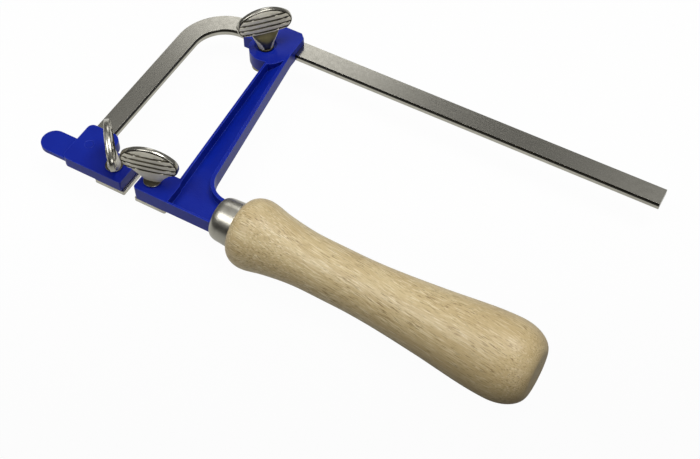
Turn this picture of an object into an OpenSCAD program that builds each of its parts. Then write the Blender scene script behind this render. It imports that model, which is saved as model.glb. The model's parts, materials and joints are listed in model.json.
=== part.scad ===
// Adjustable fret saw frame, lying on its flat side with the blade taken out.
// A bent steel bow slides through the head of a cast yoke and is locked there by a thumb screw.
// A clamping jaw on the bow and one on the yoke hold the two ends of the blade.
// X runs along the blade line towards the handle, Y from the blade line up to the bow bar,
// and Z is square to the saw's flat side. The origin is on the rear jaw screw, in the grip plane.

/* [Bow bar] */
// Width of the bar's broad face
bar_w = 7; // [6:0.5:9]
// Thickness of the bar
bar_t = 2.7; // [2.2:0.1:3.2]
// Rounding of the bar's long edges
bar_edge_r = 0.9; // [0.3:0.1:1]
// Inside radius of the bend
bend_r = 11; // [8:0.5:18]
// Distance from the blade line to the bar's inner edge
throat_depth = 71; // [55:1:120]
// Straight length of the long arm past the bend
long_run = 153.6; // [110:0.2:220]
// Gap between the bend and the head with the bow pushed home
home_gap = 3.3; // [1:0.1:10]

/* [Jaws] */
// Width of both jaws across the blade line
jaw_w = 10; // [9:0.5:14]
// Gap between each jaw plate and its casting, ready for a blade
blade_gap = 0.25; // [0.2:0.05:0.6]
// Thickness of the jaw plates
plate_t = 1.5; // [1:0.1:2.5]
// Length of the jaw plates along the blade line
plate_l = 11.4; // [11:0.2:15]
// Inset of the plates' long edges from the castings' sides
plate_inset = 0.1; // [0:0.1:0.6]
// Diameter of the guide pins
pin_d = 2; // [1.2:0.1:2.4]
// Distance from a screw's axis to its guide pin
pin_off = 4.2; // [3.8:0.1:5]
// Reach of the guide pins into the castings
pin_reach = 2.3; // [1.5:0.1:2.8]

/* [Front jaw] */
// Thickness of the front casting
front_t = 4.1; // [3.6:0.1:6]
// Wall of the socket beside and below the bar's end
socket_wall = 1.4; // [1:0.1:2.5]
// Height of the socket above the blade line
socket_h = 11; // [9:0.5:18]
// Width of the shoulder on the throat side of the bar
shoulder_w = 4.1; // [3.6:0.1:5]
// Distance from the bar's inner edge to the front jaw screw
front_reach = 8.6; // [7.6:0.1:12]
// Distance from the front jaw screw to the end of its casting
front_end = 5.5; // [4:0.1:6]
// How far the front jaw plate stands past its casting
front_lip = 0.8; // [0:0.1:1.2]
// Length of the thumb tab
tab_l = 11.1; // [4:0.5:16]
// Width of the thumb tab
tab_w = 8.7; // [5:0.5:9]
// Thickness of the thumb tab
tab_t = 1.6; // [1:0.1:2.2]
// Diameter of the rivet that holds the bar in its socket
rivet_d = 3; // [2:0.1:3.6]
// Height of the rivet above the blade line
rivet_y = 3.4; // [1:0.2:6]

/* [Yoke] */
// Thickness of the yoke casting
yoke_t = 5.4; // [4.8:0.1:7]
// Distance from the rear jaw screw to the tip of its jaw
rear_nose = 4.1; // [3.6:0.1:4.6]
// How far the rear jaw plate stands past its casting
rear_lip = 0.3; // [0:0.1:1]
// Distance from the rear jaw screw to the ferrule
neck_l = 24.6; // [21:0.5:34]
// Distance from the rear jaw screw to the strut's front edge at its foot
strut_x = 6.9; // [6.4:0.1:9]
// Width of the strut at its foot
strut_foot_w = 9.9; // [8:0.1:11]
// Width of the strut below the head
strut_head_w = 6.6; // [5:0.1:8]
// How far the strut leans forward over its height
strut_lean = 2.9; // [0:0.1:4]
// Radius where the strut runs into the neck
foot_fillet_r = 8; // [3:0.5:12]
// Width of the rim round the recessed panel
rim_w = 1.2; // [0.8:0.1:1.8]
// Width of that rim along the neck's lower edge
sole_rim_w = 0.7; // [0.5:0.1:1.8]
// Thickness of the panel's floor
floor_t = 1.2; // [0.8:0.1:3]

/* [Head] */
// Distance from the lock screw to the head's front end
head_front = 9; // [8:0.1:12]
// Distance from the lock screw to the head's rear end
head_rear = 9.8; // [9:0.1:13]
// Wall of the head outside the bar
head_wall = 0.8; // [0.6:0.1:2.5]
// Chamfer on the head's outer corners
head_chamfer = 1.8; // [0.5:0.1:2.5]
// Distance from the lock screw to the bar's inner edge
lock_off = 3; // [2.8:0.1:4]
// Distance from the lock screw back to the middle of its boss
boss_off = 1.5; // [0:0.1:2]
// Distance from the lock screw down to the middle of its boss
boss_drop = 0.4; // [0:0.1:1]
// Radius of the boss round the lock screw
boss_r = 6.8; // [6:0.1:7.6]
// Depth to which the lock screw's collar is let into the boss
collar_sink = 0.8; // [0.4:0.1:1.2]
// Thickness of the clamp plate under the bar
clamp_t = 2; // [1.5:0.1:3]
// Length of the clamp plate along the bar
clamp_l = 12; // [9:0.5:16]
// Width of the clamp plate's tongue round the lock screw
clamp_tongue_w = 7; // [6.4:0.1:7.4]

/* [Thumb screws] */
// Width of the oval finger grip
grip_w = 19; // [14:0.5:20]
// Height of the oval finger grip
grip_h = 12.8; // [11:0.2:15]
// Radius of the oval's ends
grip_end_r = 4.5; // [3.5:0.1:5]
// Thickness of the grip at its middle
grip_t = 3.2; // [2.6:0.1:3.6]
// Thickness of the grip at its rim
grip_rim_t = 2.4; // [1.6:0.1:2.4]
// Height of the oval's middle above the collar's seat on the front and lock screws
grip_rise = 10; // [9.5:0.1:13]
// The same height on the rear screw, which has a shorter neck
rear_rise = 8.3; // [7.6:0.1:13]
// Width of the grip's neck at the collar
neck_w = 4.6; // [3.5:0.1:5.4]
// Radius of the collar
collar_r = 3.4; // [3:0.1:3.8]
// Height of the collar
collar_h = 1.2; // [1:0.1:1.8]
// Diameter of the threaded shank
shank_d = 4; // [3:0.1:4.4]
// Length of the shank below the collar
shank_l = 10; // [9.6:0.1:13]
// Number of finger grooves on each face
groove_n = 4; // [2:1:5]
// Spacing of the finger grooves
groove_gap = 2; // [1.6:0.1:2.2]
// Width of a finger groove
groove_w = 0.8; // [0.4:0.1:1]
// Depth of a finger groove
groove_depth = 0.45; // [0.2:0.05:0.6]
// Direction in which the front jaw screw's grip was left
front_turn = -50; // [-70:1:-49]
// Direction in which the rear jaw screw's grip was left
rear_turn = 14; // [5:1:40]
// Direction in which the lock screw's grip was left
lock_turn = 48; // [-90:1:90]

/* [Handle] */
// Angle by which the handle drops from the blade line
handle_droop = 1.8; // [0:0.1:3]
// Outside diameter of the ferrule
ferrule_d = 14.4; // [14:0.1:18]
// Length of the ferrule
ferrule_l = 7.5; // [6:0.5:14]
// Wall of the ferrule
ferrule_wall = 0.7; // [0.5:0.1:1]
// Rounding of the ferrule's front edge
ferrule_round = 1; // [0.8:0.1:1.2]
// Length of the wood behind the ferrule
handle_l = 100.5; // [90:0.5:130]
// Step from the ferrule up to the wood
shoulder_step = 0.4; // [0.2:0.1:1]
// Diameter of the bulge behind the ferrule
bulge_d = 22.8; // [19:0.2:28]
// Distance from the ferrule to the bulge
bulge_at = 5.6; // [4:0.2:9]
// Diameter of the waist
waist_d = 17.4; // [13:0.2:19]
// Distance from the ferrule to the waist
waist_at = 27; // [22:0.5:34]
// Length of the waist
waist_l = 11; // [4:0.5:16]
// Diameter of the butt at its thickest
butt_d = 25.5; // [23:0.1:32]
// Distance from the butt's thickest place to the end
butt_back = 10.5; // [8:0.5:14]
// Diameter of the flat on the end
butt_flat_d = 13; // [6:0.5:18]
// Diameter of the tang at the neck
tang_d = 5; // [4:0.1:6]
// Length of the tang
tang_l = 45; // [25:1:70]

/* [Hidden] */
$fn = 48;

cast_blue = "#22309c";
plated_steel = "#c9c8bf";
ash_wood = "#c9ad84";

// Clearances and small working sizes
run_clear = 0.06;   // round a turning shank or a sliding pin
press_clear = 0.02; // round a pressed pin
slide_clear = 0.12; // round the bar in the head
seat_clear = 0.05;  // under a collar and under the bar
collar_clear = 0.35; // round a collar in its counterbore
slack = 1;          // past a face, so that a cut leaves no skin

// The yoke's places
half_jaw = jaw_w / 2;
lock_y = throat_depth - lock_off;
bar_top_y = throat_depth + bar_w;
head_top_y = bar_top_y + head_wall;
head_low_y = lock_y;
boss_mid = [boss_off, lock_y - boss_drop];
strut_top = [strut_x - strut_lean, boss_mid.y - boss_r];
strut_rise = strut_top.y - half_jaw;
pin_hole_depth = pin_reach + 0.3;

// The bow's places, with the bow pushed home against the head
bend_x = -head_front - home_gap;
bend_y = throat_depth - bend_r;
short_in_x = bend_x - bend_r;
short_out_x = short_in_x - bar_w;
short_mid_x = short_in_x - bar_w / 2;
front_x = short_in_x + front_reach;
bar_foot_y = -half_jaw + socket_wall;
socket_x = short_out_x - socket_wall;
tab_z = bar_t - tab_t;

// The strut's rear edge and the fillet that runs it into the neck
rear_low = [strut_x + strut_foot_w, half_jaw];
rear_high = strut_top + [strut_head_w, 0];
rear_dir = (rear_high - rear_low) / norm(rear_high - rear_low);
rear_out = [rear_dir.y, -rear_dir.x];
fillet_run = foot_fillet_r * (1 - rear_out.y) / rear_dir.y;
fillet_mid = rear_low + fillet_run * rear_dir + foot_fillet_r * rear_out;

// The oval grip is drawn with two end arcs and two long arcs that meet them smoothly
end_off = grip_w / 2 - grip_end_r;
arc_drop = (end_off * end_off - pow(grip_h / 2 - grip_end_r, 2)) / (grip_h - 2 * grip_end_r);
arc_r = grip_h / 2 + arc_drop;
arc_half = end_off * arc_r / (arc_r - grip_end_r);
dome_rise = (grip_t - grip_rim_t) / 2;
dome_r = (pow(grip_w / 2, 2) + dome_rise * dome_rise) / (2 * dome_rise);
neck_t = grip_t * 0.8;

// The handle's places along its own axis, from the ferrule's front
handle_z = yoke_t / 2;
ferrule_r = ferrule_d / 2;
stub_r = ferrule_r - ferrule_wall - press_clear;
neck_in = 2.5;
stub_x = neck_in + 0.2;
tang_tip_d = tang_d * 0.6;
lip_t = 0.8;
neck_hole_r = norm([half_jaw, yoke_t / 2]) + 0.3;

// A square corner of side r less the round that stays in it
module corner(r) {
    difference() {
        translate([-slack, -slack]) square(r + slack);
        translate([r, r]) circle(r);
    }
}

// The material that fills an inside corner to radius r
module inside_fillet(r) {
    difference() {
        translate([-slack, -slack]) square(r + slack);
        translate([r, r]) circle(r);
        translate([r, -2 * slack]) square(2 * slack);
    }
}

// A rectangle with its own radius at each corner: low left, low right, high right, high left
module rounded(lo, hi, r) {
    difference() {
        translate(lo) square(hi - lo);
        translate(lo) corner(r[0]);
        translate([hi.x, lo.y]) mirror([1, 0]) corner(r[1]);
        translate(hi) rotate(180) corner(r[2]);
        translate([lo.x, hi.y]) mirror([0, 1]) corner(r[3]);
    }
}

// The bar's flat section with rounded edges, width along x and thickness along y
module bar_section() {
    rounded([-bar_w, -bar_t] / 2, [bar_w, bar_t] / 2, [bar_edge_r, bar_edge_r, bar_edge_r, bar_edge_r]);
}

module bow_bar() {
    color(plated_steel) difference() {
        translate([0, 0, bar_t / 2]) {
            translate([bend_x, throat_depth + bar_w / 2, 0])
                rotate([90, 0, 90]) linear_extrude(long_run) bar_section();
            translate([bend_x, bend_y, 0]) rotate(90)
                rotate_extrude(angle = 90) translate([bend_r + bar_w / 2, 0]) bar_section();
            translate([short_mid_x, bend_y, 0])
                rotate([90, 0, 0]) linear_extrude(bend_y - bar_foot_y - press_clear) bar_section();
        }
        rivet_hole();
    }
}

module rivet_hole() {
    translate([short_mid_x, rivet_y, -slack]) cylinder(h = front_t + 2 * slack, d = rivet_d + 2 * press_clear);
}

module bar_rivet() {
    color(cast_blue) translate([short_mid_x, rivet_y, 0]) cylinder(h = front_t, d = rivet_d);
}

module screw_hole(h) {
    translate([0, 0, -slack]) cylinder(h = h + 2 * slack, d = shank_d + 2 * run_clear);
}

module guide_hole() {
    translate([0, 0, -slack]) cylinder(h = pin_hole_depth + slack, d = pin_d + 2 * run_clear);
}

module front_outline() {
    socket_hi = [short_in_x + shoulder_w, socket_h];
    rounded([socket_x, -half_jaw], socket_hi, [2, 0.4, shoulder_w - 0.6, 2]);
    rounded([short_in_x, -half_jaw], [front_x + front_end, half_jaw], [0.4, 0.5, 0.5, 0.4]);
    translate([socket_hi.x, half_jaw]) inside_fillet(min(2, (socket_h - half_jaw) / 3));
}

module tab_outline() {
    translate([socket_x - tab_l + tab_w / 2, 0]) {
        circle(d = tab_w);
        translate([0, -tab_w / 2]) square([tab_l - tab_w / 2 + socket_wall / 2, tab_w]);
    }
}

module front_jaw() {
    color(cast_blue) difference() {
        union() {
            linear_extrude(front_t) front_outline();
            translate([0, 0, tab_z]) linear_extrude(tab_t) tab_outline();
        }
        translate([short_out_x - press_clear, bar_foot_y, -slack])
            cube([bar_w + 2 * press_clear, socket_h + half_jaw + slack, bar_t + press_clear + slack]);
        rivet_hole();
        translate([front_x, 0, 0]) screw_hole(front_t);
        translate([front_x - pin_off, 0, 0]) guide_hole();
    }
}

// A jaw plate on its screw's axis; ahead is how far it reaches towards the other jaw on the +x side
module jaw_plate(ahead, pin_x) {
    half_w = half_jaw - plate_inset;
    translate([0, 0, -blade_gap - plate_t]) difference() {
        linear_extrude(plate_t) rounded([ahead - plate_l, -half_w], [ahead, half_w], [0.8, 0.4, 0.4, 0.8]);
        screw_hole(plate_t);
        translate([pin_x, 0, -slack]) cylinder(h = plate_t + 2 * slack, d = pin_d + 2 * press_clear);
    }
}

module guide_pin(low) {
    translate([0, 0, low]) cylinder(h = pin_reach - low, d = pin_d);
}

module front_jaw_plate() {
    color(plated_steel) translate([front_x, 0, 0]) jaw_plate(front_end + front_lip, -pin_off);
}

module front_guide_pin() {
    color(plated_steel) translate([front_x - pin_off, 0, 0]) guide_pin(-blade_gap - plate_t);
}

module rear_jaw_plate() {
    color(plated_steel) rotate(180) jaw_plate(rear_nose + rear_lip, -pin_off);
}

module rear_guide_pin() {
    color(plated_steel) translate([pin_off, 0, 0]) guide_pin(-blade_gap - plate_t);
}

// The strut between its front and rear edges, each moved inwards by inset
module strut_outline(inset, low, high) {
    function front_at(y) = strut_x - strut_lean * (y - half_jaw) / strut_rise + inset;
    function rear_at(y) = rear_low.x + (rear_high.x - rear_low.x) * (y - half_jaw) / strut_rise - inset;
    polygon([[front_at(low), low], [rear_at(low), low], [rear_at(high), high], [front_at(high), high]]);
}

// The fillet at the strut's foot, with its edge moved inwards by inset
module foot_fillet(inset) {
    difference() {
        polygon([rear_low - [inset, inset + slack], rear_low + fillet_run * rear_dir - [inset + 0.2, 0],
                 fillet_mid, [fillet_mid.x, half_jaw - inset - slack]]);
        translate(fillet_mid) circle(foot_fillet_r + inset);
    }
}

module head_outline() {
    lo = [-head_front, head_low_y];
    hi = [head_rear, head_top_y];
    polygon([lo, [hi.x, lo.y], [hi.x, hi.y - head_chamfer], [hi.x - head_chamfer, hi.y],
             [lo.x + head_chamfer, hi.y], [lo.x, hi.y - head_chamfer]]);
}

module yoke_outline() {
    rounded([-rear_nose, -half_jaw], [neck_l + neck_in, half_jaw], [1, 0.3, 0.3, 1]);
    strut_outline(0, 0, head_low_y + slack);
    foot_fillet(0);
    head_outline();
    translate(boss_mid) circle(boss_r);
}

// The panel sunk into the strut, its foot and the neck, which runs round the boss at the top
module panel_outline() {
    panel_low = -half_jaw + sole_rim_w;
    panel_x = strut_x + rim_w + 0.4;
    difference() {
        union() {
            strut_outline(rim_w, half_jaw - rim_w - slack, lock_y);
            translate([panel_x, panel_low]) square([neck_l - panel_x, half_jaw - rim_w - panel_low]);
            foot_fillet(rim_w);
        }
        translate(boss_mid) circle(boss_r + rim_w);
    }
}

// The tapered tang on the handle's axis, with clear added all round
module tang(clear) {
    translate([neck_in - slack, 0, 0]) rotate([0, 90, 0])
        cylinder(h = tang_l + slack + clear, d1 = tang_d + 2 * clear, d2 = tang_tip_d + 2 * clear);
}

// Moves the handle's own axis to its place behind the neck
module on_handle() {
    translate([neck_l, 0, handle_z]) rotate(-handle_droop) children();
}

module yoke() {
    color(cast_blue) difference() {
        union() {
            linear_extrude(yoke_t) yoke_outline();
            on_handle() tang(0);
        }
        translate([0, 0, floor_t]) linear_extrude(yoke_t) panel_outline();
        // the bar's channel, open at the underside
        translate([-head_front - slack, throat_depth - slide_clear, -slack])
            cube([head_front + head_rear + 2 * slack, bar_w + 2 * slide_clear, bar_t + slide_clear + slack]);
        screw_hole(yoke_t);
        translate([pin_off, 0, 0]) guide_hole();
        translate([0, lock_y, 0]) {
            screw_hole(yoke_t);
            translate([0, 0, yoke_t - collar_sink]) cylinder(h = yoke_t, r = collar_r + collar_clear);
            translate([0, -pin_off, 0]) guide_hole();
        }
    }
}

module clamp_plate() {
    tongue = clamp_tongue_w / 2;
    color(plated_steel) translate([0, lock_y, -seat_clear - clamp_t]) difference() {
        linear_extrude(clamp_t) {
            rounded([-clamp_l / 2, 0], [clamp_l / 2, lock_off + bar_w], [0.6, 0.6, 0.6, 0.6]);
            rounded([-tongue, -pin_off - pin_d], [tongue, slack], [3, 3, 0.1, 0.1]);
        }
        screw_hole(clamp_t);
        translate([0, -pin_off, -slack]) cylinder(h = clamp_t + 2 * slack, d = pin_d + 2 * press_clear);
    }
}

module clamp_guide_pin() {
    color(plated_steel) translate([0, lock_y - pin_off, 0]) guide_pin(-seat_clear - clamp_t);
}

module oval() {
    for (side = [-1, 1])
        translate([side * end_off, 0]) circle(grip_end_r);
    intersection() {
        translate([0, -arc_drop]) circle(arc_r, $fn = 96);
        translate([0, arc_drop]) circle(arc_r, $fn = 96);
        square([2 * arc_half, grip_h], center = true);
    }
}

// The oval finger grip, thicker in the middle than at its rim, with grooves across both faces
module grip() {
    difference() {
        intersection() {
            rotate([90, 0, 0]) linear_extrude(grip_t + slack, center = true) oval();
            translate([0, dome_r - grip_t / 2, 0])
                cylinder(grip_h + slack, r = dome_r, center = true, $fn = 720);
            translate([0, grip_t / 2 - dome_r, 0])
                cylinder(grip_h + slack, r = dome_r, center = true, $fn = 720);
        }
        for (i = [0 : groove_n - 1], face = [-1, 1])
            translate([0, face * grip_t / 2, groove_gap * (0.6 - i)])
                cube([grip_w + slack, 2 * groove_depth, groove_w], center = true);
    }
}

// A spade-headed thumb screw standing on its collar's seat, with its grip's middle at height rise
module thumb_screw(rise) {
    neck_top = rise - grip_h * 0.3;
    translate([0, 0, rise]) grip();
    rotate([90, 0, 0]) linear_extrude(neck_t, center = true)
        polygon([[-neck_w / 2, collar_h / 2], [neck_w / 2, collar_h / 2],
                 [neck_w, neck_top], [-neck_w, neck_top]]);
    cylinder(h = collar_h / 2, r = collar_r);
    translate([0, 0, collar_h / 2]) cylinder(h = collar_h / 2, r1 = collar_r, r2 = collar_r * 0.65);
    translate([0, 0, -shank_l]) cylinder(h = shank_l + collar_h / 4, d = shank_d);
}

module front_jaw_screw() {
    color(plated_steel) translate([front_x, 0, front_t + seat_clear]) rotate(front_turn) thumb_screw(grip_rise);
}

module rear_jaw_screw() {
    color(plated_steel) translate([0, 0, yoke_t + seat_clear]) rotate(rear_turn) thumb_screw(rear_rise);
}

module lock_screw() {
    color(plated_steel) translate([0, lock_y, yoke_t - collar_sink + seat_clear])
        rotate(lock_turn) thumb_screw(grip_rise);
}

// Turns an outline drawn as (distance along the axis, radius) about the handle's axis
module turned() {
    rotate([0, 90, 0]) rotate_extrude($fn = 96) mirror([1, 0]) rotate(90) children();
}

module ferrule() {
    round_mid = [ferrule_round, ferrule_r - ferrule_round];
    color(plated_steel) on_handle() turned() difference() {
        union() {
            translate([ferrule_round, 0]) square([ferrule_l - ferrule_round, ferrule_r]);
            square([ferrule_l, round_mid.y]);
            translate(round_mid) circle(ferrule_round);
        }
        translate([lip_t, -slack]) square([ferrule_l, ferrule_r - ferrule_wall + slack]);
        translate([-slack, -slack]) square([ferrule_l, neck_hole_r + slack]);
    }
}

// A smooth run between two places on the handle, each given as [along, radius, slope],
// in n steps from the one numbered first
function blend(a, b, n, first) = [
    for (i = [first : n - 1])
        let (u = i / n, run = b[0] - a[0])
        [a[0] + u * run,
         a[1] * (2 * pow(u, 3) - 3 * u * u + 1) + b[1] * (3 * u * u - 2 * pow(u, 3))
         + run * (a[2] * (pow(u, 3) - 2 * u * u + u) + b[2] * (pow(u, 3) - u * u))]
];

// A quarter round of length a and height b about mid, from its start angle
function quarter(mid, a, b, start, n) =
    [for (i = [0 : n]) let (t = start + 90 * i / n) mid + [a * sin(t), b * cos(t)]];

module handle_outline() {
    shoulder_r = ferrule_r + shoulder_step;
    bulge = [bulge_at, bulge_d / 2, 0];
    waist = [waist_at, waist_d / 2, 0];
    waist_end = [waist_at + waist_l, waist_d / 2, 0];
    butt = [handle_l - butt_back, butt_d / 2, 0];
    fall_l = waist.x - bulge.x;
    fall_h = bulge.y - waist.y;
    fall = [bulge.x + 0.32 * fall_l, bulge.y - 0.46 * fall_h, -1.35 * fall_h / fall_l];
    swell_l = butt.x - waist_end.x;
    swell_h = butt.y - waist_end.y;
    swell = [waist_end.x + 0.55 * swell_l, waist_end.y + 0.47 * swell_h, 1.28 * swell_h / swell_l];
    stub = [[stub_x - ferrule_l, 0], [stub_x - ferrule_l, stub_r], [0, stub_r]];
    translate([ferrule_l, 0]) polygon(concat(
        stub, quarter([bulge.x, shoulder_r], bulge.x, bulge.y - shoulder_r, -90, 8),
        blend(bulge, fall, 4, 1), blend(fall, waist, 6, 0), [[waist.x, waist.y]],
        blend(waist_end, swell, 6, 0), blend(swell, butt, 5, 0),
        quarter([butt.x, butt_flat_d / 2], butt_back, butt.y - butt_flat_d / 2, 0, 8),
        [[handle_l, 0]]));
}

module handle() {
    color(ash_wood) on_handle() difference() {
        turned() handle_outline();
        tang(press_clear);
    }
}

bow_bar();
front_jaw();
bar_rivet();
front_jaw_plate();
front_guide_pin();
front_jaw_screw();
yoke();
rear_jaw_plate();
rear_guide_pin();
rear_jaw_screw();
clamp_plate();
clamp_guide_pin();
lock_screw();
ferrule();
handle();
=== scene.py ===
"""Adjustable fret saw frame lying on its side: plated bow, enamelled castings, turned handle."""
import json
import logging
import math
from dataclasses import dataclass
from enum import Enum, IntEnum
from typing import Any, Callable, Sequence

import bpy
from mathutils import Matrix, Vector

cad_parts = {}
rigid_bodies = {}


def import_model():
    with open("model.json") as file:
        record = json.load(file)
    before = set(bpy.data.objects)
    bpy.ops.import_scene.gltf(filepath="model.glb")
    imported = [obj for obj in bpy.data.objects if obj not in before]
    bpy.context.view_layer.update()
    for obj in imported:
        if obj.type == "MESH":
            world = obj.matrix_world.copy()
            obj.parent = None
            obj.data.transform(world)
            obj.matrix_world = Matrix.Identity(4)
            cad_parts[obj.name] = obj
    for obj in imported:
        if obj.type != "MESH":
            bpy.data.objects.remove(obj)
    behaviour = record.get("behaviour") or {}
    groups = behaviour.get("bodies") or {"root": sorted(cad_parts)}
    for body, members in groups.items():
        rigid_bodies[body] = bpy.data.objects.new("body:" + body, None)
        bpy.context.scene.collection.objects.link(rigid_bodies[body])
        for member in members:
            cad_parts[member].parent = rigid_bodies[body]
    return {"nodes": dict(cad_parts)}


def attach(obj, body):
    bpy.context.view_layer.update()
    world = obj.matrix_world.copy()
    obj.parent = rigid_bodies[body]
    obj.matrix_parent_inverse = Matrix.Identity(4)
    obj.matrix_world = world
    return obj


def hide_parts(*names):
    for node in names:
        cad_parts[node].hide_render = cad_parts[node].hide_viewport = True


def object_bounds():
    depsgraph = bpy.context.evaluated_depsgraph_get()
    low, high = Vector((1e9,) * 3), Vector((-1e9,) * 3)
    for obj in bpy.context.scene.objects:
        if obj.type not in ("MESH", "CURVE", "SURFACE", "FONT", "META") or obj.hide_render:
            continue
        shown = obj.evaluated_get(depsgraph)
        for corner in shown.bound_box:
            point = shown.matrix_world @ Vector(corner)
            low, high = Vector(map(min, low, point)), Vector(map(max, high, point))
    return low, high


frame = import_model()
CAD_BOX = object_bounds()

LOG = logging.getLogger("fret_saw")
MM = 0.001
# Points that are closer than this, in millimetres, become one.
MERGE = 0.002
# Neighbouring faces of a copied solid that turn by less than this, in degrees, become one.
FLAT = 0.6
Point = tuple[float, float]
Place = tuple[float, float, float]


class Slot(Enum):
    """The record's material slots."""

    ENAMEL = "blue_enamel"
    STEEL = "plated_steel"
    WOOD = "turned_wood"


class Body(Enum):
    """The CAD bodies that carry the pieces."""

    FRAME = "frame"
    BOW = "bow"
    FRONT_SCREW = "front_screw"
    FRONT_PLATE = "front_plate"
    REAR_SCREW = "rear_screw"
    REAR_PLATE = "rear_plate"
    LOCK = "lock"
    CLAMP = "clamp"


class Lay(Enum):
    """How the fine marks of a metal's finish run."""

    ALONG_BAR = "along_bar"
    TURNED = "turned"
    TUMBLED = "tumbled"


class Fade(Enum):
    """How a glow in the room fades at its border."""

    EVEN = "LINEAR"
    SOFT = "SMOOTHSTEP"


class Coat(IntEnum):
    """Which of its piece's finishes a face has, in the order in which the piece got them."""

    FIRST = 0
    SECOND = 1
    THIRD = 2


# Colour and node helpers


def linear(colour: str) -> tuple[float, float, float, float]:
    """Turns an sRGB hex colour into linear RGBA.

    Args:
        colour: six hex digits after a hash sign.

    Returns:
        The linear red, green and blue parts and an alpha of one.
    """
    parts = [int(colour[i:i + 2], 16) / 255 for i in (1, 3, 5)]
    red, green, blue = (
        c / 12.92 if c <= 0.04045 else ((c + 0.055) / 1.055) ** 2.4 for c in parts
    )
    return red, green, blue, 1.0


def grey(level: float) -> tuple[float, float, float, float]:
    """Gives the opaque grey of one linear level."""
    return level, level, level, 1.0


def per_mm(size: float) -> float:
    """Gives the texture scale at which one feature is about size millimetres."""
    return 1 / (size * MM)


def add_node(tree: bpy.types.NodeTree, kind: str, links: dict[Any, Any] | None = None,
             **settings: Any) -> bpy.types.Node:
    """Adds one node with its settings, socket values and links.

    Args:
        tree: the node tree that gets the node.
        kind: the node's type name.
        links: socket name or number to a value, or to the output that feeds it.
        settings: the node's own properties; stops sets the points of a colour ramp.

    Returns:
        The new node.
    """
    node = tree.nodes.new(kind)
    for key, value in settings.items():
        if key == "stops":
            ramp = node.color_ramp.elements
            while len(ramp) < len(value):
                ramp.new(0.5)
            for element, (place, colour) in zip(ramp, value):
                element.position = place
                element.color = colour
        else:
            setattr(node, key, value)
    for key, value in (links or {}).items():
        if isinstance(value, bpy.types.NodeSocket):
            tree.links.new(value, node.inputs[key])
        else:
            node.inputs[key].default_value = value
    return node


def new_material(name: str) -> tuple[bpy.types.Material, bpy.types.NodeTree, bpy.types.Node]:
    """Starts a node material with a Principled shader on its output.

    Args:
        name: the material's name.

    Returns:
        The material, its node tree and the Principled shader.
    """
    material = bpy.data.materials.new(name)
    material.use_nodes = True
    tree = material.node_tree
    tree.nodes.clear()
    shader = add_node(tree, "ShaderNodeBsdfPrincipled")
    add_node(tree, "ShaderNodeOutputMaterial", {"Surface": shader.outputs["BSDF"]})
    return material, tree, shader


# Finishes


@dataclass(frozen=True)
class Enamel:
    """Stoved gloss enamel on a zinc die casting.

    A thick even coat: deep colour, soft highlights and a faint orange peel. On the sunk panel,
    where the mould was left rough, it has a fine stipple.
    """

    name: str
    stipple: float = 0.0
    colour: str = "#0b2290"
    deep: str = "#081c86"
    roughness: float = 0.3
    ior: float = 1.45
    specular: float = 0.24
    tone_mm: float = 14.0
    tone_span: Point = (0.38, 0.62)
    peel_mm: float = 1.3
    # The real stipple is too fine to show, so it is drawn coarser.
    stipple_mm: float = 0.55
    bump: float = 0.35
    bump_mm: float = 0.06

    def build(self) -> bpy.types.Material:
        """Makes the node material.

        Returns:
            The material.
        """
        material, tree, shader = new_material(self.name)
        place = add_node(tree, "ShaderNodeTexCoord").outputs["Object"]
        tone = add_node(tree, "ShaderNodeTexNoise", {
            "Vector": place, "Scale": per_mm(self.tone_mm), "Detail": 3.0})
        colour = add_node(tree, "ShaderNodeValToRGB", {"Fac": tone.outputs["Fac"]}, stops=(
            (self.tone_span[0], linear(self.deep)), (self.tone_span[1], linear(self.colour))))
        peel = add_node(tree, "ShaderNodeTexNoise", {
            "Vector": place, "Scale": per_mm(self.peel_mm), "Detail": 2.0})
        grain = add_node(tree, "ShaderNodeTexNoise", {
            "Vector": place, "Scale": per_mm(self.stipple_mm), "Detail": 4.0})
        height = add_node(tree, "ShaderNodeMath", {
            0: grain.outputs["Fac"], 1: self.stipple, 2: peel.outputs["Fac"]},
            operation="MULTIPLY_ADD")
        bump = add_node(tree, "ShaderNodeBump", {
            "Strength": self.bump, "Distance": self.bump_mm * MM, "Height": height.outputs[0]})
        tree.links.new(colour.outputs["Color"], shader.inputs["Base Color"])
        tree.links.new(bump.outputs["Normal"], shader.inputs["Normal"])
        shader.inputs["Roughness"].default_value = self.roughness
        shader.inputs["IOR"].default_value = self.ior
        shader.inputs["Specular IOR Level"].default_value = self.specular
        return material


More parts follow.
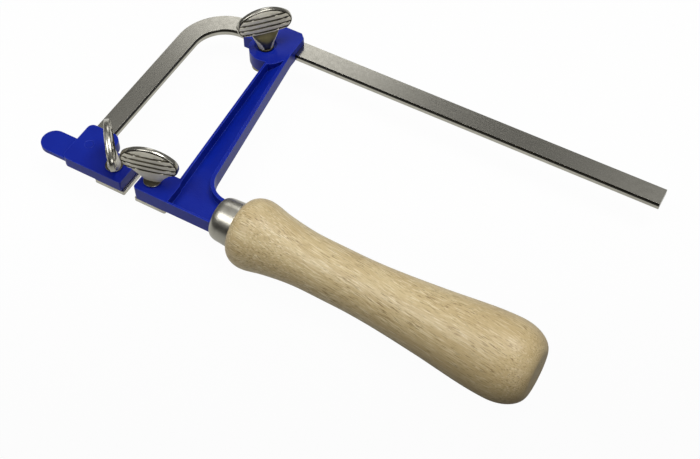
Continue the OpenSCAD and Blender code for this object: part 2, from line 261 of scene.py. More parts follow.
@dataclass(frozen=True)
class Nickel:
    """Nickel plating on steel, a warm grey metal.

    The steel's drawn, turned or tumbled surface shows through as fine marks, and handling leaves
    faint dull clouds on it.
    """

    name: str
    lay: Lay
    bright: str = "#c6c3b8"
    dull: str = "#aeaa9d"
    roughness: Point = (0.2, 0.34)
    # The real marks are too fine to show, so they are drawn coarser.
    mark_mm: float = 0.25
    mark_long_mm: float = 24.0
    cloud_mm: float = 9.0
    cloud_span: Point = (0.35, 0.6)
    wear_span: Point = (0.15, 0.4)
    bump: float = 0.4
    depth_mm: float = 0.01
    metallic: float = 1.0

    def marks(self, tree: bpy.types.NodeTree) -> bpy.types.NodeSocket:
        """Makes the place at which the fine marks are read, stretched along their lay.

        Args:
            tree: the material's node tree.

        Returns:
            The output that holds the stretched place.
        """
        fine, long = per_mm(self.mark_mm), per_mm(self.mark_long_mm)
        if self.lay is Lay.ALONG_BAR:
            source = add_node(tree, "ShaderNodeAttribute", attribute_name="lay").outputs["Vector"]
            scale = (long, fine, fine)
        else:
            source = add_node(tree, "ShaderNodeTexCoord").outputs["Object"]
            scale = (fine, long, long) if self.lay is Lay.TURNED else (fine, fine, fine)
        return add_node(tree, "ShaderNodeMapping", {"Vector": source, "Scale": scale}).outputs[0]

    def build(self) -> bpy.types.Material:
        """Makes the node material.

        Returns:
            The material.
        """
        material, tree, shader = new_material(self.name)
        place = add_node(tree, "ShaderNodeTexCoord").outputs["Object"]
        marks = add_node(tree, "ShaderNodeTexNoise", {
            "Vector": self.marks(tree), "Scale": 1.0, "Detail": 4.0, "Roughness": 0.6})
        cloud = add_node(tree, "ShaderNodeTexNoise", {
            "Vector": place, "Scale": per_mm(self.cloud_mm), "Detail": 4.0, "Roughness": 0.6})
        colour = add_node(tree, "ShaderNodeValToRGB", {"Fac": cloud.outputs["Fac"]}, stops=(
            (self.cloud_span[0], linear(self.dull)), (self.cloud_span[1], linear(self.bright))))
        worn = add_node(tree, "ShaderNodeMath", {
            0: marks.outputs["Fac"], 1: cloud.outputs["Fac"]}, operation="MULTIPLY")
        rough = add_node(tree, "ShaderNodeMapRange", {
            "Value": worn.outputs[0], "From Min": self.wear_span[0], "From Max": self.wear_span[1],
            "To Min": self.roughness[1], "To Max": self.roughness[0]})
        bump = add_node(tree, "ShaderNodeBump", {
            "Strength": self.bump, "Distance": self.depth_mm * MM, "Height": marks.outputs["Fac"]})
        tree.links.new(colour.outputs["Color"], shader.inputs["Base Color"])
        tree.links.new(rough.outputs["Result"], shader.inputs["Roughness"])
        tree.links.new(bump.outputs["Normal"], shader.inputs["Normal"])
        shader.inputs["Metallic"].default_value = self.metallic
        return material


@dataclass(frozen=True)
class Hardwood:
    """Pale turned hardwood under a thin satin varnish.

    Faint growth rings, and many short dark pores and light fibres that run along the handle.
    """

    name: str
    origin: Place
    droop: float
    pale: str = "#d3c196"
    brown: str = "#b9a275"
    pore: str = "#80693f"
    fibre: str = "#e6d8b4"
    slant: float = 7.0
    # A span is the range of a pattern over which a feature sets in, and most or least is the
    # strength that it goes to.
    ring_mm: float = 3.4
    ring_span: Point = (0.25, 0.6)
    ring_pull: float = 0.06
    pith_mm: Point = (-21.0, -26.0)
    wander_mm: Point = (30.0, 2.5)
    sway_mm: Point = (38.0, 9.0)
    # Real pores and fibres are too fine to show, so they are drawn coarser.
    pore_mm: Point = (2.8, 0.3)
    pore_span: Point = (0.52, 0.68)
    pore_most: float = 0.9
    fibre_mm: Point = (6.0, 0.4)
    fibre_span: Point = (0.5, 0.68)
    fibre_most: float = 0.75
    shade_mm: Point = (26.0, 6.0)
    shade_span: Point = (0.35, 0.65)
    shade_most: float = 0.55
    cluster_mm: Point = (14.0, 5.0)
    cluster_span: Point = (0.38, 0.62)
    cluster_least: float = 0.45
    # Painted shade: the wood goes browner between these distances along the handle, for light that
    # falls off toward the butt.
    painted_falloff_mm: Point = (55.0, 110.0)
    painted_falloff_most: float = 0.4
    roughness: float = 0.38
    ior: float = 1.45
    bump: float = 0.5
    bump_mm: float = 0.04

    def streaks(self, tree: bpy.types.NodeTree, place: bpy.types.NodeSocket, size: Point,
                detail: float = 3.0) -> bpy.types.NodeSocket:
        """Makes noise that is long along the grain and narrow across it.

        Args:
            tree: the material's node tree.
            place: the output that holds the place in the grain.
            size: a streak's length and width in millimetres.
            detail: the noise's detail.

        Returns:
            The output that holds the noise.
        """
        scale = (per_mm(size[0]), per_mm(size[1]), per_mm(size[1]))
        drawn = add_node(tree, "ShaderNodeMapping", {"Vector": place, "Scale": scale})
        noise = add_node(tree, "ShaderNodeTexNoise", {
            "Vector": drawn.outputs[0], "Scale": 1.0, "Detail": detail, "Roughness": 0.55})
        return noise.outputs["Fac"]

    def rings(self, tree: bpy.types.NodeTree,
              place: bpy.types.NodeSocket) -> bpy.types.NodeSocket:
        """Makes the growth rings, round a pith that lies beside the handle.

        Args:
            tree: the material's node tree.
            place: the output that holds the place in the grain.

        Returns:
            The output that holds the share of late wood.
        """
        sway = add_node(tree, "ShaderNodeTexNoise", {
            "Vector": place, "Scale": per_mm(self.sway_mm[0]), "Detail": 2.0})
        pith = add_node(tree, "ShaderNodeVectorMath", {
            0: place, 1: (0, self.pith_mm[0] * MM, self.pith_mm[1] * MM)}, operation="SUBTRACT")
        drawn = add_node(tree, "ShaderNodeVectorMath", {
            0: pith.outputs[0], 1: (self.ring_pull, 1, 1)}, operation="MULTIPLY")
        radius = add_node(tree, "ShaderNodeVectorMath", {0: drawn.outputs[0]}, operation="LENGTH")
        wavy = add_node(tree, "ShaderNodeMath", {
            0: sway.outputs["Fac"], 1: self.sway_mm[1] * MM, 2: radius.outputs["Value"]},
            operation="MULTIPLY_ADD")
        phase = add_node(tree, "ShaderNodeMath", {
            0: wavy.outputs[0], 1: 2 * math.pi * per_mm(self.ring_mm)}, operation="MULTIPLY")
        ring = add_node(tree, "ShaderNodeMath", {0: phase.outputs[0]}, operation="SINE")
        share = add_node(tree, "ShaderNodeMapRange", {
            "Value": ring.outputs[0], "From Min": -1.0, "From Max": 1.0,
            "To Min": self.ring_span[0], "To Max": self.ring_span[1]})
        return share.outputs["Result"]

    def build(self) -> bpy.types.Material:
        """Makes the node material.

        Returns:
            The material.
        """
        material, tree, shader = new_material(self.name)
        straight = add_node(tree, "ShaderNodeMapping", {
            "Vector": add_node(tree, "ShaderNodeTexCoord").outputs["Object"],
            "Location": [v * MM for v in self.origin],
            "Rotation": (0, 0, -math.radians(self.droop + self.slant))}, vector_type="TEXTURE")
        bend = add_node(tree, "ShaderNodeTexNoise", {
            "Vector": straight.outputs[0], "Scale": per_mm(self.wander_mm[0]), "Detail": 1.0})
        reach = self.wander_mm[1] * MM
        place = add_node(tree, "ShaderNodeVectorMath", {
            0: bend.outputs["Color"], 1: (0, reach, reach), 2: straight.outputs[0]},
            operation="MULTIPLY_ADD").outputs[0]

        body = add_node(tree, "ShaderNodeMix", {
            0: self.rings(tree, place), 6: linear(self.pale), 7: linear(self.brown)},
            data_type="RGBA")
        shade = add_node(tree, "ShaderNodeMapRange", {
            "Value": self.streaks(tree, place, self.shade_mm), "From Min": self.shade_span[0],
            "From Max": self.shade_span[1], "To Min": 0.0, "To Max": self.shade_most})
        toned = add_node(tree, "ShaderNodeMix", {
            0: shade.outputs["Result"], 6: body.outputs[2], 7: linear(self.brown)},
            data_type="RGBA")
        light = add_node(tree, "ShaderNodeValToRGB", {
            "Fac": self.streaks(tree, place, self.fibre_mm)}, stops=(
            (self.fibre_span[0], grey(0.0)), (self.fibre_span[1], grey(self.fibre_most))))
        fibre = add_node(tree, "ShaderNodeMix", {
            0: light.outputs["Color"], 6: toned.outputs[2], 7: linear(self.fibre)},
            data_type="RGBA")
        # Painted shade: browner toward the butt, for the light falling off along the handle.
        along = add_node(tree, "ShaderNodeSeparateXYZ", {"Vector": straight.outputs[0]})
        painted_falloff = add_node(tree, "ShaderNodeMapRange", {
            "Value": along.outputs["X"], "From Min": self.painted_falloff_mm[0] * MM,
            "From Max": self.painted_falloff_mm[1] * MM, "To Min": 0.0, "To Max": self.painted_falloff_most})
        painted_falloff_wood = add_node(tree, "ShaderNodeMix", {
            0: painted_falloff.outputs["Result"], 6: fibre.outputs[2], 7: linear(self.brown)},
            data_type="RGBA")
        pores = add_node(tree, "ShaderNodeValToRGB", {
            "Fac": self.streaks(tree, place, self.pore_mm)}, stops=(
            (self.pore_span[0], grey(0.0)), (self.pore_span[1], grey(self.pore_most))))
        cluster = add_node(tree, "ShaderNodeMapRange", {
            "Value": self.streaks(tree, place, self.cluster_mm, 2.0),
            "From Min": self.cluster_span[0], "From Max": self.cluster_span[1],
            "To Min": self.cluster_least, "To Max": 1.0})
        open_pores = add_node(tree, "ShaderNodeMath", {
            0: pores.outputs["Color"], 1: cluster.outputs["Result"]}, operation="MULTIPLY")
        colour = add_node(tree, "ShaderNodeMix", {
            0: open_pores.outputs[0], 6: painted_falloff_wood.outputs[2], 7: linear(self.pore)},
            data_type="RGBA")
        bump = add_node(tree, "ShaderNodeBump", {
            "Strength": self.bump, "Distance": self.bump_mm * MM,
            "Height": open_pores.outputs[0]}, invert=True)
        tree.links.new(colour.outputs[2], shader.inputs["Base Color"])
        tree.links.new(bump.outputs["Normal"], shader.inputs["Normal"])
        shader.inputs["Roughness"].default_value = self.roughness
        shader.inputs["IOR"].default_value = self.ior
        return material


# Modelling helpers


def select_only(*pieces: bpy.types.Object) -> None:
    """Deselects everything, then selects these objects and makes the first one active.

    Args:
        pieces: the objects to select.
    """
    bpy.ops.object.select_all(action="DESELECT")
    for piece in pieces:
        piece.select_set(True)
    bpy.context.view_layer.objects.active = pieces[0]


def edit(piece: bpy.types.Object, *steps: Callable[[], Any]) -> None:
    """Runs steps in edit mode with all of one object selected.

    Args:
        piece: the object to edit.
        steps: functions called in order.
    """
    select_only(piece)
    bpy.ops.object.mode_set(mode="EDIT")
    bpy.ops.mesh.select_all(action="SELECT")
    for step in steps:
        step()
    bpy.ops.object.mode_set(mode="OBJECT")


def cut(piece: bpy.types.Object, place: Place, normal: Place, **options: Any) -> None:
    """Cuts all of a piece along a plane.

    Args:
        piece: the object to cut.
        place: a point of the plane in millimetres.
        normal: the plane's direction.
        options: what else the cut does, such as clearing one side.
    """
    at = [v * MM for v in place]
    edit(piece, lambda: bpy.ops.mesh.bisect(plane_co=at, plane_no=normal, **options))


def merge_points() -> None:
    """Joins the selected points that lie on top of each other."""
    bpy.ops.mesh.remove_doubles(threshold=MERGE * MM)


def face_outwards() -> None:
    """Turns the selected faces so that they point outwards."""
    bpy.ops.mesh.normals_make_consistent(inside=False)


def select_all() -> None:
    """Selects all of the mesh that is being edited."""
    bpy.ops.mesh.select_all(action="SELECT")


def spin_round(piece: bpy.types.Object, middle: Sequence[float], axis: Sequence[float],
               steps: int) -> None:
    """Spins a line of edges once round an axis into a closed solid.

    Args:
        piece: the object that holds the line.
        middle: a point of the axis in metres.
        axis: the axis's direction.
        steps: faces round the axis.
    """
    edit(piece,
         lambda: bpy.ops.mesh.spin(steps=steps, angle=2 * math.pi, center=middle, axis=axis),
         select_all, merge_points, face_outwards)


def node_copy(node: str, name: str) -> bpy.types.Object:
    """Copies a CAD node's mesh into a new object and joins its loose triangles.

    Args:
        node: the CAD node's name.
        name: the new object's name.

    Returns:
        The new object, at the origin and with no parent.
    """
    select_only(frame["nodes"][node])
    bpy.ops.object.duplicate()
    piece = bpy.context.active_object
    bpy.ops.object.parent_clear(type="CLEAR_KEEP_TRANSFORM")
    for key in list(piece.keys()):
        if key.startswith("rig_"):
            del piece[key]
    piece.name = piece.data.name = name
    bpy.ops.mesh.customdata_custom_splitnormals_clear()
    edit(piece, merge_points)
    edit(piece, lambda: bpy.ops.mesh.dissolve_limited(angle_limit=math.radians(FLAT)))
    return piece


def smooth(piece: bpy.types.Object, angle: float = 35.0) -> None:
    """Smooths the shading of a piece.

    Args:
        piece: the object to smooth.
        angle: the angle in degrees up to which an edge is smoothed over.
    """
    select_only(piece)
    bpy.ops.object.shade_smooth_by_angle(angle=math.radians(angle))
    level = piece.modifiers.new("level_flats", "WEIGHTED_NORMAL")
    level.keep_sharp = True
    bpy.ops.object.modifier_apply(modifier=level.name)


def round_edges(piece: bpy.types.Object, width: float, segments: int = 3,
                limit: float = 30.0, material: int = -1) -> None:
    """Rounds a piece's sharp edges with a bevel, and smooths its shading.

    Args:
        piece: the object to round.
        width: the bevel's width in millimetres.
        segments: faces across the bevel.
        limit: the angle in degrees from which an edge counts as sharp.
        material: number of the material that the rounded edges get; -1 keeps their own.
    """
    select_only(piece)
    bevel = piece.modifiers.new("rounding", "BEVEL")
    bevel.width = width * MM
    bevel.segments = segments
    bevel.limit_method = "ANGLE"
    bevel.angle_limit = math.radians(limit)
    bevel.use_clamp_overlap = True
    bevel.miter_outer = "MITER_ARC"
    bevel.material = material
    bpy.ops.object.modifier_apply(modifier=bevel.name)
    edit(piece, merge_points)
    smooth(piece)


def dress(piece: bpy.types.Object, *materials: bpy.types.Material) -> None:
    """Gives a piece its materials, the first one all over until its faces are told apart.

    Args:
        piece: the object to dress.
        materials: the materials in the order of Coat.
    """
    piece.data.materials.clear()
    for material in materials:
        piece.data.materials.append(material)


def settle(piece: bpy.types.Object, body: Body, node: str) -> None:
    """Puts a finished piece on its body in place of its CAD node, and reports it.

    Args:
        piece: the finished object.
        body: the CAD body that carries it.
        node: the CAD node that it stands for.
    """
    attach(piece, body.value)
    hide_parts(node)
    LOG.info("%s: %d faces, on %s", piece.name, len(piece.data.polygons), body.value)


def outline_object(name: str, points: Sequence[Vector], closed: bool) -> bpy.types.Object:
    """Makes an object of one line of edges, ready to be spun.

    Args:
        name: the object's name.
        points: the line's points in metres.
        closed: join the last point to the first.

    Returns:
        The new object.
    """
    mesh = bpy.data.meshes.new(name)
    edges = [(i, i + 1) for i in range(len(points) - 1)]
    if closed:
        edges.append((len(points) - 1, 0))
    mesh.from_pydata(points, edges, [])
    piece = bpy.data.objects.new(name, mesh)
    bpy.context.scene.collection.objects.link(piece)
    return piece


def arc(mid: Point, size: Point, start: float, sweep: float, n: int) -> list[Point]:
    """Gives points on a piece of an ellipse.

    Args:
        mid: its middle.
        size: its half length and half height.
        start: the first angle in degrees, counted from the first axis.
        sweep: the angle it covers in degrees.
        n: the number of steps.

    Returns:
        The points, both ends included.
    """
    turns = [math.radians(start + sweep * i / n) for i in range(n + 1)]
    return [(mid[0] + size[0] * math.cos(t), mid[1] + size[1] * math.sin(t)) for t in turns]


def run(a: Place, b: Place, n: int) -> list[Point]:
    """Gives a smooth run between two places, each given as (along, radius, slope).

    Args:
        a: the first place.
        b: the second place.
        n: the number of steps.

    Returns:
        The points between the two places, neither included.
    """
    length = b[0] - a[0]
    points = []
    for i in range(1, n):
        u = i / n
        rise = a[1] * (2 * u ** 3 - 3 * u * u + 1) + b[1] * (3 * u * u - 2 * u ** 3)
        lean = length * (a[2] * (u ** 3 - 2 * u * u + u) + b[2] * (u ** 3 - u * u))
        points.append((a[0] + u * length, rise + lean))
    return points


def part_way(a: Place, b: Place, share: Place) -> Place:
    """Gives a place on the way between two places, each given as (along, radius, slope).

    Args:
        a: the first place.
        b: the second place.
        share: how far along and how far up it is, and its slope against the straight line's.

    Returns:
        The place between them.
    """
    length, rise = b[0] - a[0], b[1] - a[1]
    return a[0] + share[0] * length, a[1] + share[1] * rise, share[2] * rise / length


def ease(share: float) -> float:
    """Gives a share from 0 to 1 a gentle start and end."""
    return share * share * (3 - 2 * share)


# The saw's sub-assemblies


@dataclass
class HandleLine:
    """The handle's axis, which drops a little from the blade line behind the neck."""

    start: Place = (24.6, 0.0, 2.7)
    droop: float = 1.8
    faces: int = 144

    def turned(self, name: str, outline: Sequence[Point], closed: bool) -> bpy.types.Object:
        """Spins an outline about the handle's axis into a closed solid.

        Args:
            name: the new object's name.
            outline: points as (distance along the axis, radius) in millimetres.
            closed: the outline is a loop that keeps off the axis.

        Returns:
            The new object.
        """
        angle = math.radians(self.droop)
        along = Vector((math.cos(angle), -math.sin(angle), 0))
        up = Vector((0, 0, 1))
        start = Vector(self.start) * MM
        points = [start + along * (s * MM) + up * (r * MM) for s, r in outline]
        piece = outline_object(name, points, closed)
        spin_round(piece, start, along, self.faces)
        return piece


@dataclass
class Handle:
    """The turned wooden grip and the polished ferrule round its front end."""

    line: HandleLine
    ferrule_r: float = 7.2
    ferrule_l: float = 7.5
    ferrule_wall: float = 0.7
    ferrule_round: Point = (3.2, 1.15)
    ferrule_flare: float = 0.3
    ferrule_rim: float = 0.2
    lip: float = 0.8
    neck_r: float = 5.98
    stub_at: float = 2.7
    stub_fit: float = 0.02
    length: float = 100.5
    shoulder: float = 0.4
    # Places as (distance behind the ferrule, radius), and where the outline passes between them.
    bulge: Point = (5.6, 11.4)
    fall: Place = (0.32, 0.46, 1.35)
    waist: Point = (27.0, 8.7)
    waist_l: float = 11.0
    swell: Place = (0.55, 0.47, 1.28)
    butt_r: float = 12.75
    butt_back: float = 10.5
    flat_r: float = 6.5

    def outline(self) -> list[Point]:
        """Draws the wood's outline from its stub in the ferrule to the middle of its end.

        Returns:
            Points as (distance along the axis, radius) in millimetres.
        """
        step = self.ferrule_r + self.shoulder
        bulge = (*self.bulge, 0.0)
        waist = (*self.waist, 0.0)
        end = (self.waist[0] + self.waist_l, self.waist[1], 0.0)
        butt = (self.length - self.butt_back, self.butt_r, 0.0)
        fall = part_way(bulge, waist, self.fall)
        swell = part_way(end, butt, self.swell)
        stub_r = self.ferrule_r - self.ferrule_wall - self.stub_fit
        back = self.stub_at - self.ferrule_l
        points = [(back, 0.0), (back, stub_r), (0.0, stub_r)]
        points += arc((bulge[0], step), (bulge[0], bulge[1] - step), 180, -90, 14)
        points += run(bulge, fall, 10) + [fall[:2]] + run(fall, waist, 14) + [waist[:2]]
        points += [end[:2]] + run(end, swell, 16) + [swell[:2]] + run(swell, butt, 14)
        points += arc((butt[0], self.flat_r), (self.butt_back, butt[1] - self.flat_r), 90, -90, 18)
        points += [(self.length, self.flat_r / 2), (self.length, 0.0)]
        return [(s + self.ferrule_l, r) for s, r in points]

    def build_wood(self, finish: bpy.types.Material) -> None:
        """Turns the wooden grip.

        Args:
            finish: the varnished wood.
        """
        wood = self.line.turned("handle_wood", self.outline(), closed=False)
        smooth(wood, 40)
        dress(wood, finish)
        settle(wood, Body.FRAME, "handle")

    def build_ferrule(self, finish: bpy.types.Material) -> None:
        """Turns the ferrule with its rounded front edge.

        Args:
            finish: the polished plating.
        """
        r, (long, high) = self.ferrule_r, self.ferrule_round
        wide, bore, rim = r + self.ferrule_flare, r - self.ferrule_wall, self.ferrule_rim
        points = [(0.0, self.neck_r)] + arc((long, r - high), (long, high), 180, -90, 12)
        points += [(self.ferrule_l - rim, wide), (self.ferrule_l, wide - rim)]
        points += [(self.ferrule_l, bore), (self.lip, bore), (self.lip, self.neck_r)]
        ferrule = self.line.turned("ferrule_shell", points, closed=True)
        smooth(ferrule)
        dress(ferrule, finish)
        settle(ferrule, Body.FRAME, "ferrule")


@dataclass
class Casting:
    """One enamelled die casting with the soft edges that the mould leaves."""

    node: str
    name: str
    body: Body
    edge: float = 0.35

    def shape(self, casting: bpy.types.Object) -> None:
        """Gives the casting the forms that its CAD solid lacks; a plain one has none."""

    def build(self, *finishes: bpy.types.Material) -> None:
        """Copies the casting's solid and softens its edges.

        Args:
            finishes: the enamel, the paler enamel that paints a highlight on the rounded edges, and
                a sunk panel's enamel.
        """
        casting = node_copy(self.node, self.name)
        dress(casting, *finishes)
        self.shape(casting)
        # The rounded edges get the second finish, a paler blue that paints a highlight along them.
        round_edges(casting, self.edge, material=Coat.SECOND)
        settle(casting, self.body, self.node)


@dataclass
class Yoke(Casting):
    """The casting that holds the rear jaw, the strut with its sunk panel, and the head.

    The panel's floor rises from the strut's front edge to its rear edge, and the front rim's
    inner wall leans outwards, as the photograph shows.
    """

    floor: float = 1.2
    top: float = 5.4
    front_low: Point = (8.21, 2.8)
    front_high: Point = (5.21, 60.51)
    rear_low: Point = (14.86, 11.62)
    rear_high: Point = (8.96, 64.72)
    panel_end: float = 24.7
    # The floor's height at the front and at the rear, and where its rise sets in on the strut.
    levels: Point = (2.2, 4.4)
    rise_from: Point = (6.0, 18.0)
    cuts: tuple[float, ...] = (8.74, 13.0, 16.0, 20.0, 40.0)
    lean: float = 0.4
    lean_past: float = 0.1
    near: float = 0.02

    def edge_x(self, low: Point, high: Point, y: float) -> float:
        """Gives where a line through two places stands at a height on the strut."""
        return low[0] + (high[0] - low[0]) * (y - low[1]) / (high[1] - low[1])

    def floor_at(self, x: float, y: float) -> float:
        """Gives the height of the panel's floor at a place.

        Args:
            x: the place across the strut in millimetres.
            y: the height on the strut in millimetres.

        Returns:
            The floor's height in millimetres.
        """
        front = self.edge_x(self.front_low, self.front_high, y)
        rear = self.edge_x(self.rear_low, self.rear_high, y)
        across = min(max((x - front) / (rear - front), 0.0), 1.0)
        first, last = self.rise_from
        up = ease(min(max((y - first) / (last - first), 0.0), 1.0))
        return self.levels[0] + (self.levels[1] - self.levels[0]) * across * up

    def shape(self, casting: bpy.types.Object) -> None:
        """Raises the panel's floor, leans its front wall and marks the floor's faces.

        Args:
            casting: the copy of the solid.
        """
        for y in self.cuts:
            cut(casting, (0, y, 0), (0, 1, 0))
        low, high = self.front_low[1] + self.lean_past, self.front_high[1] + self.lean_past
        ground = set()
        for vertex in casting.data.vertices:
            x, y, z = (v / MM for v in vertex.co)
            if abs(z - self.floor) < self.near and x < self.panel_end:
                ground.add(vertex.index)
                vertex.co.z = self.floor_at(x, y) * MM
            front = self.edge_x(self.front_low, self.front_high, y)
            on_rim = abs(z - self.top) < self.near and abs(x - front) < self.near
            if on_rim and low < y < high:
                vertex.co.x -= self.lean * MM
        for polygon in casting.data.polygons:
            if ground.issuperset(polygon.vertices):
                polygon.material_index = Coat.THIRD


@dataclass
class BowBar:
    """The flat steel bar, bent once edgewise, that carries the front jaw."""

    bend_x: float = -12.3
    bend_y: float = 60.0
    bend_r: float = 11.0
    bend_steps: int = 48
    width: float = 7.0
    thick: float = 2.7
    edge: Point = (0.24, 0.44)
    edge_turn: tuple[float, ...] = (0, 8, 22, 34, 41, 47, 52, 59, 72, 84, 90)
    # The slope at which the edge is longest, how fast it gets shorter, and its least length.
    edge_length: Place = (45.0, 13.0, 0.04)
    foot_y: float = -3.58
    end_x: float = 141.3
    burr: float = 0.3
    burr_from: float = 60.0
    # A dark stripe painted on the inner edge, for shade and a dark reflection, lies between the
    # first two heights, no further than the third length from the inner edge.
    painted_stripe_low: float = 1.6
    painted_stripe_high: float = 2.62
    painted_stripe_in: float = 0.2

    def lay_of(self, point: Vector) -> Vector:
        """Gives a point's place along the bar, across it and through it.

        Args:
            point: the point in metres.

        Returns:
            The distances in metres.
        """
        dx, dy = point.x - self.bend_x * MM, point.y - self.bend_y * MM
        mid = (self.bend_r + self.width / 2) * MM
        if dx >= 0:
            return Vector((dx, dy, point.z))
        if dy <= 0:
            return Vector((dy - mid * math.pi / 2, -dx, point.z))
        return Vector((-mid * math.atan2(-dx, dy), math.hypot(dx, dy), point.z))

    def section(self) -> list[Vector]:
        """Draws the bar's round-edged section at the foot of its short arm.

        Returns:
            The section's points in metres.
        """
        mid_x = self.bend_x - self.bend_r - self.width / 2
        wide, high = self.edge
        # The edge's slope turns quickly at both ends and slowly between them.
        steep, spread, least = self.edge_length
        line = [(0.0, 0.0)]
        for turn in self.edge_turn:
            length = math.exp(-((turn - steep) / spread) ** 2) + least
            slope = math.radians(turn)
            x, z = line[-1]
            line.append((x - length * math.sin(slope), z + length * math.cos(slope)))
        line = [(x / -line[-1][0] * wide, z / line[-1][1] * high) for x, z in line]
        corner = [(self.width / 2 + x, self.thick / 2 - high + z) for x, z in line]
        points: list[Point] = []
        for x, z in ((1, 1), (-1, 1), (-1, -1), (1, -1)):
            part = [(mid_x + x * u, self.thick / 2 + z * w) for u, w in corner]
            points += part if x * z > 0 else part[::-1]
        return [Vector((x * MM, self.foot_y * MM, z * MM)) for x, z in points]

    def build(self, finish: bpy.types.Material, painted_edge_shade: bpy.types.Material) -> None:
        """Draws the section up the short arm, round the bend and along the long arm.

        Args:
            finish: the plated finish.
            painted_edge_shade: the dark finish of a stripe high on the inner edge, painted shade and
                a painted dark reflection.
        """
        bar = outline_object("bow_bar_steel", self.section(), closed=True)

        def draw(x: float, y: float) -> None:
            """Draws the selected end of the bar onwards by a length in millimetres."""
            bpy.ops.mesh.extrude_region_move(
                TRANSFORM_OT_translate={"value": (x * MM, y * MM, 0)})

        edit(bar,
             lambda: draw(0, self.bend_y - self.foot_y),
             lambda: bpy.ops.mesh.spin(
                 steps=self.bend_steps, angle=math.pi / 2, axis=(0, 0, 1),
                 center=(self.bend_x * MM, self.bend_y * MM, 0)),
             lambda: draw(self.end_x - self.bend_x, 0),
             select_all, merge_points,
             lambda: bpy.ops.mesh.fill_holes(sides=0),
             face_outwards,
             lambda: bpy.ops.mesh.bisect(
                 plane_co=(0, 0, self.painted_stripe_low * MM), plane_no=(0, 0, 1)))
        round_edges(bar, self.burr, 2, self.burr_from)
        lay = bar.data.attributes.new("lay", "FLOAT_VECTOR", "POINT")
        for vertex, value in zip(bar.data.vertices, lay.data):
            value.vector = self.lay_of(vertex.co)
        dress(bar, finish, painted_edge_shade)
        # Faces high on the inner edge get the dark finish: painted shade and a painted dark
        # reflection.
        for polygon in bar.data.polygons:
            inner = self.lay_of(polygon.center).y < (self.bend_r + self.painted_stripe_in) * MM
            if inner and self.painted_stripe_low * MM < polygon.center.z < self.painted_stripe_high * MM:
                polygon.material_index = Coat.SECOND
        settle(bar, Body.BOW, "bow_bar")


@dataclass(frozen=True)
class ScrewPlace:
    """Where one thumb screw stands: its seat, its grip's height and the way it was left.

    The neck's half width and half thickness go from foot_w and foot_t at its foot to neck_w and
    neck_t under the grip, and a larger curl keeps it round for longer. Faces that turn sideways by
    more than flank are finished apart. A flush neck is pale as the grip's face is; another one, set
    back under its grip, gets painted shade on its broad faces.
    """

    node: str
    name: str
    body: Body
    seat: Place
    rise: float
    turn: float
    neck_w: float = 5.2
    neck_t: float = 1.1
    foot_w: float = 2.6
    foot_t: float = 2.5
    neck_low: float = 0.55
    flank: float = 0.4
    curl: float = 1.0
    flush: bool = False


